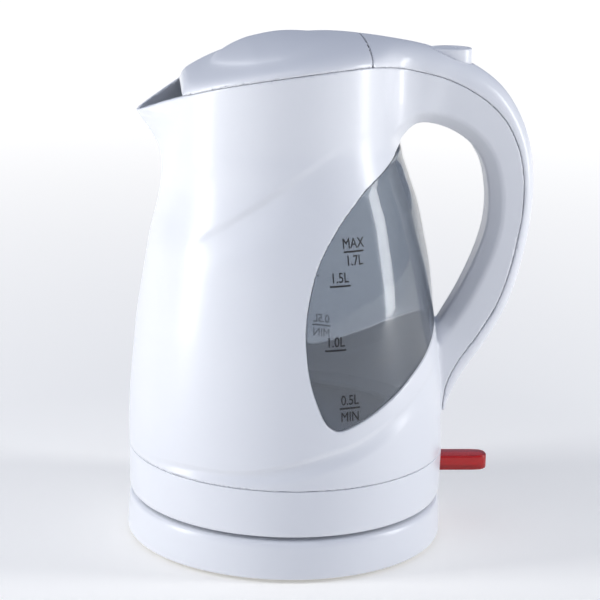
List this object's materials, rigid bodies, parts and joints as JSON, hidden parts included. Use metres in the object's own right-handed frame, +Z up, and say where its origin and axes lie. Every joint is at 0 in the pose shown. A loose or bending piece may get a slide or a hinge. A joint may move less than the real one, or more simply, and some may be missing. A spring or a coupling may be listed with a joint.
{
  "type": "cordless electric jug kettle",
  "caption": "Cordless jug kettle with a hinged lid, push button, loop handle, rear water window, rocking power lever and a round power base.",
  "frame": {"origin": "on the power base's axis at table level; the base's underside lies 0.8 mm above it on the rubber feet", "axes": "+Z up, the spout points to -X and the handle to +X, +Y is the far side of the jug"},
  "size_m": [0.2006, 0.16, 0.2553],
  "materials": {
    "white_plastic": "glossy white moulding",
    "black_plastic": "plain black moulding",
    "brass": "bright contact metal",
    "steel": "plain steel",
    "aluminium": "cast, matt",
    "rubber": "matt black",
    "silicone": "translucent grey silicone",
    "smoked_clear": "smoked clear plastic, polished",
    "red_clear": "translucent red plastic"
  },
  "bodies": {
    "base": {"base_shell": "white_plastic", "base_bottom_plate": "white_plastic", "base_socket": "black_plastic", "base_contact_inner": "brass", "base_contact_outer": "brass", "base_contact_pin": "brass", "foot_1": "rubber", "foot_2": "rubber", "foot_3": "rubber", "foot_4": "rubber", "base_screw_1": "steel", "base_screw_2": "steel", "base_screw_3": "steel"},
    "kettle": {"body_shell": "white_plastic", "water_window": "smoked_clear", "handle_cover": "white_plastic", "lower_housing": "white_plastic", "heating_plate": "steel", "plate_seal": "silicone", "plate_clamp_ring": "steel", "clamp_screw_1": "steel", "clamp_screw_2": "steel", "clamp_screw_3": "steel", "heat_diffuser": "aluminium", "heating_element": "steel", "controller": "black_plastic", "bimetal_disc_1": "brass", "bimetal_disc_2": "brass", "connector_body": "black_plastic", "connector_ring_inner": "brass", "connector_ring_outer": "brass", "connector_pin": "brass", "housing_screw_1": "steel", "housing_screw_2": "steel", "housing_screw_3": "steel", "indicator_lamp": "red_clear", "steam_tube": "silicone", "latch_carrier": "black_plastic", "spout_filter_frame": "white_plastic", "filter_mesh": "silicone", "hinge_pin": "steel", "hinge_spring": "steel", "button_spring": "steel", "switch_pin": "steel"},
    "lid": {"lid_cover": "white_plastic", "lid_inner_plate": "white_plastic", "lid_screw_1": "steel", "lid_screw_2": "steel", "lid_screw_3": "steel"},
    "button": {"lid_button": "white_plastic"},
    "latch": {"lid_latch": "black_plastic"},
    "switch": {"switch_lever": "red_clear"},
    "rocker": {"trip_rocker": "black_plastic"}
  },
  "joints": [
    {"name": "kettle_lift", "type": "slide", "parent": "base", "child": "kettle", "axis": [0, 0, 1], "range_m": [0, 0.06]},
    {"name": "lid_hinge", "type": "hinge", "parent": "kettle", "child": "lid", "pos_m": [0.0455, 0, 0.243], "axis": [0, 1, 0], "range_deg": [0, 72]},
    {"name": "button_press", "type": "slide", "parent": "kettle", "child": "button", "axis": [0, 0, -1], "range_m": [0, 0.0032], "stiffness_N_per_m": 300, "deforming": ["button_spring"]},
    {"name": "latch_slide", "type": "slide", "parent": "kettle", "child": "latch", "axis": [1, 0, 0], "range_m": [0, 0.0032]},
    {"name": "switch_rock", "type": "hinge", "parent": "kettle", "child": "switch", "pos_m": [0.066, 0, 0.0349], "axis": [0, 1, 0], "range_deg": [0, 10]},
    {"name": "trip_rock", "type": "hinge", "parent": "kettle", "child": "rocker", "pos_m": [0.052, 0, 0.0349], "axis": [0, 1, 0], "range_deg": [-7, 0]}
  ],
  "couplings": [
    {"joint": "latch_slide", "follows": "button_press", "ratio": 1},
    {"joint": "trip_rock", "follows": "switch_rock", "ratio": -0.7}
  ]
}
